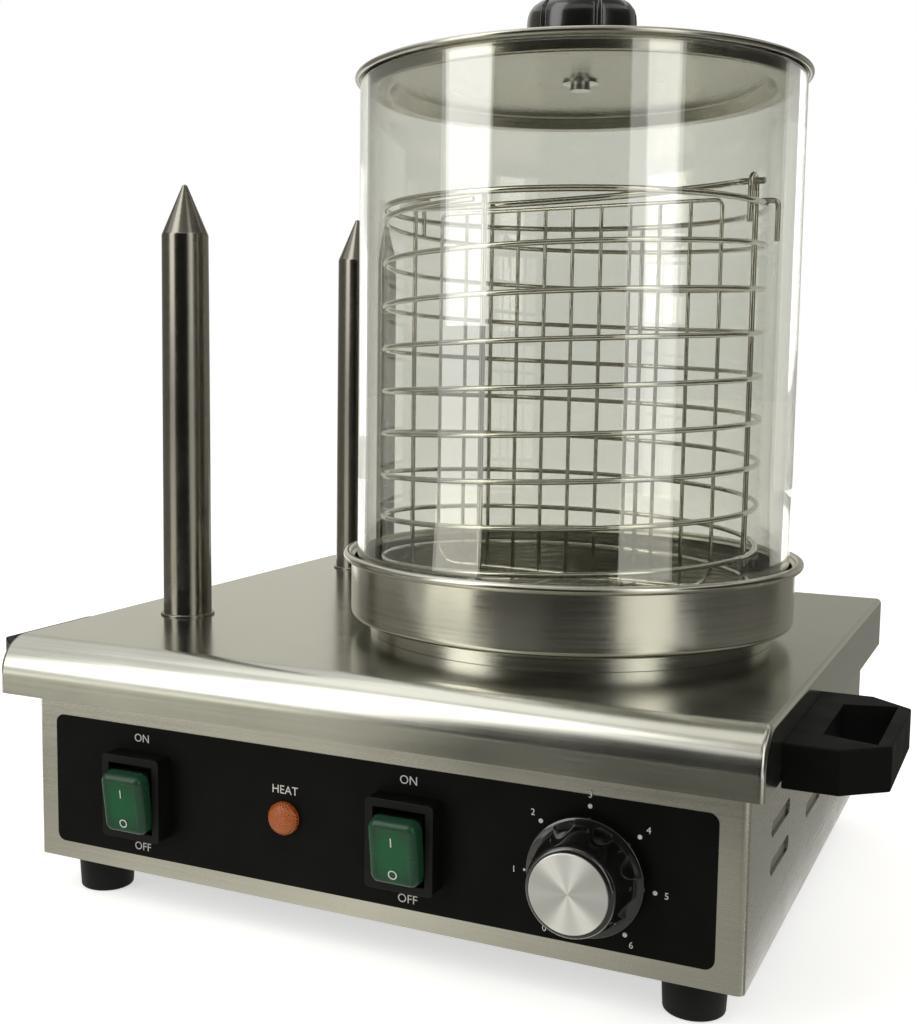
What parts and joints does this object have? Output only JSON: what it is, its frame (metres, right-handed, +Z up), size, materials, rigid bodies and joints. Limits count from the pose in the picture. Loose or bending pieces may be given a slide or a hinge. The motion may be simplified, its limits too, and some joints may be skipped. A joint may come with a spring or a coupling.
{
  "type": "hot dog steamer",
  "caption": "Countertop hot dog steamer: heated cabinet with controls, steaming pan, lidded glass cylinder with lift-out wire basket, and heated bread spikes.",
  "frame": {"origin": "middle of the whole outline on the floor under the feet", "axes": "+Z up, -Y out of the front control panel, +X to the right seen from the front"},
  "size_m": [0.412, 0.3204, 0.4072],
  "materials": {
    "stainless_sheet": "brushed, half bright",
    "stainless_bar": "polished",
    "stainless_wire": "bright drawn wire",
    "galvanised_plate": "galvanised",
    "screw_steel": "zinc plated",
    "foot_rubber": "matt black",
    "handle_plastic": "satin black, heat resistant",
    "overlay_film": "satin black with white print",
    "switch_black": "satin black",
    "rocker_green": "translucent green",
    "terminal_brass": "plain",
    "lens_orange": "translucent, gridded",
    "knob_black": "gloss black",
    "spun_aluminium": "spun in circles",
    "thermostat_case": "plated",
    "heater_aluminium": "cast",
    "heater_sheath": "annealed sheath",
    "clear_glass": "clear",
    "terminal_plastic": "cream"
  },
  "bodies": {
    "cabinet": {"base_plate": "galvanised_plate", "base_plate_screws": "screw_steel", "bread_spike_front": "stainless_bar", "bread_spike_rear": "stainless_bar", "cable_gland": "switch_black", "cable_gland_nut": "switch_black", "casing": "stainless_sheet", "control_overlay": "overlay_film", "foot_front_left": "foot_rubber", "foot_front_right": "foot_rubber", "foot_nuts": "screw_steel", "foot_rear_left": "foot_rubber", "foot_rear_right": "foot_rubber", "foot_screws": "screw_steel", "handle_screws": "screw_steel", "heat_lamp_body": "switch_black", "heat_lamp_lens": "lens_orange", "heat_lamp_nut": "screw_steel", "heater_clamp_bar": "galvanised_plate", "heater_clamp_nut": "screw_steel", "heater_element": "heater_sheath", "heater_plate": "heater_aluminium", "overheat_cutout": "thermostat_case", "pan_collar": "stainless_sheet", "side_handle_left": "handle_plastic", "side_handle_right": "handle_plastic", "spike_heater_front": "heater_sheath", "spike_heater_rear": "heater_sheath", "spike_nut_front": "screw_steel", "spike_nut_rear": "screw_steel", "switch_left_bezel": "switch_black", "switch_left_body": "switch_black", "switch_left_terminals": "terminal_brass", "switch_right_bezel": "switch_black", "switch_right_body": "switch_black", "switch_right_terminals": "terminal_brass", "terminal_block": "terminal_plastic", "terminal_block_screws": "screw_steel", "thermostat_body": "thermostat_case", "thermostat_screws": "screw_steel", "top_cover": "stainless_sheet", "water_pan": "stainless_sheet"},
    "glass": {"glass_cylinder": "clear_glass"},
    "lid": {"lid": "stainless_sheet", "lid_knob": "handle_plastic", "lid_washer": "stainless_sheet", "lid_knob_screw": "screw_steel"},
    "basket": {"basket_bottom_grid": "stainless_wire", "basket_coil": "stainless_wire", "basket_rim": "stainless_wire", "basket_divider": "stainless_wire", "basket_uprights": "stainless_wire", "basket_pivot_loop_left": "stainless_wire", "basket_pivot_loop_right": "stainless_wire"},
    "bail": {"basket_bail": "stainless_wire"},
    "rocker_left": {"switch_left_rocker": "rocker_green"},
    "rocker_right": {"switch_right_rocker": "rocker_green"},
    "dial": {"thermostat_shaft": "screw_steel", "thermostat_knob": "knob_black", "thermostat_knob_cap": "spun_aluminium"}
  },
  "joints": [
    {"name": "glass_lift", "type": "slide", "parent": "cabinet", "child": "glass", "axis": [0, 0, 1], "range_m": [0, 0.26]},
    {"name": "lid_lift", "type": "slide", "parent": "glass", "child": "lid", "axis": [0, 0, 1], "range_m": [0, 0.45]},
    {"name": "basket_lift", "type": "slide", "parent": "cabinet", "child": "basket", "axis": [0, 0, 1], "range_m": [0, 0.27]},
    {"name": "bail_swing", "type": "hinge", "parent": "basket", "child": "bail", "pos_m": [0.04531, -0.00539, 0.3233], "axis": [-0.9945, 0.1045, 0], "range_deg": [0, 100]},
    {"name": "switch_left_press", "type": "hinge", "parent": "cabinet", "child": "rocker_left", "pos_m": [-0.1036, -0.1402, 0.0543], "axis": [-1, 0, 0], "range_deg": [0, 16]},
    {"name": "switch_right_press", "type": "hinge", "parent": "cabinet", "child": "rocker_right", "pos_m": [0.027, -0.1402, 0.0543], "axis": [-1, 0, 0], "range_deg": [0, 16]},
    {"name": "dial_turn", "type": "hinge", "parent": "cabinet", "child": "dial", "pos_m": [0.1027, -0.1394, 0.054], "axis": [0, 1, 0], "range_deg": [0, 291]}
  ],
  "couplings": [
    {"joint": "basket_lift", "follows": "lid_lift", "ratio": 0.6},
    {"joint": "bail_swing", "follows": "lid_lift", "rad_per_m": 3.878}
  ]
}
